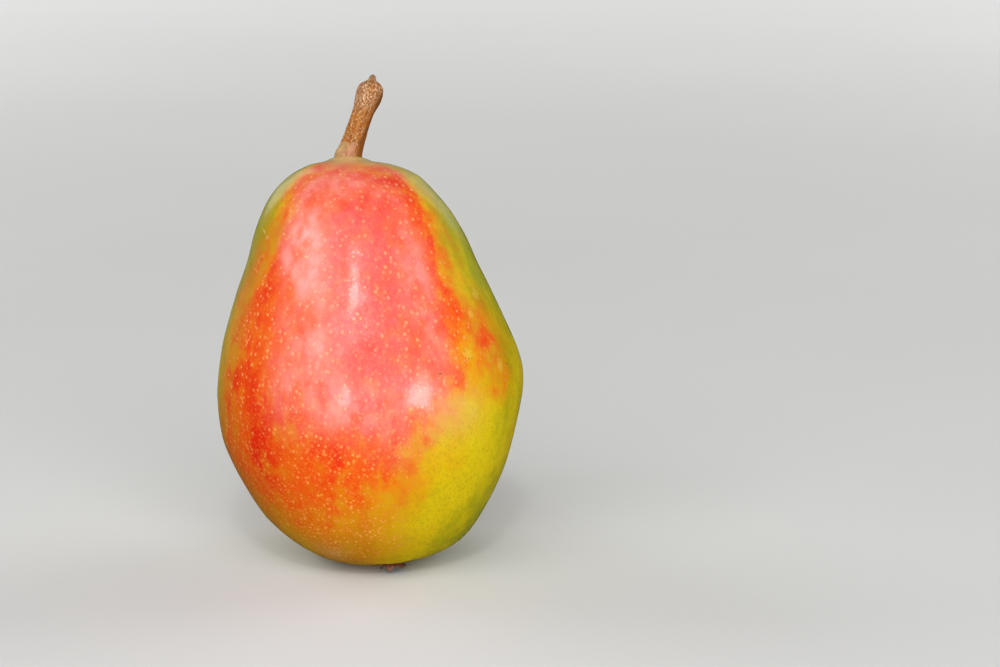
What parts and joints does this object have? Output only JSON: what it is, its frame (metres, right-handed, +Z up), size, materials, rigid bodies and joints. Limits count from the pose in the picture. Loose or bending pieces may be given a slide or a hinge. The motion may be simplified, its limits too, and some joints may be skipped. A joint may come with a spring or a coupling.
{
  "type": "pear",
  "caption": "Whole blushed pear that stands upright, with a curved woody stem at the top and a dried calyx in a shallow basin at the base.",
  "frame": {"origin": "centre of the small flat spot that the pear stands on", "axes": "+Z up from the flat spot to the stem; -Y is the front, where the blush is deepest; +X is to the right seen from the front"},
  "size_m": [0.0651, 0.0618, 0.1031],
  "materials": {
    "skin": "satin",
    "stem_bark": "matte",
    "dried_calyx": "matte"
  },
  "bodies": {
    "root": {"fruit": "skin", "stem": "stem_bark", "calyx": "dried_calyx"}
  },
  "joints": []
}
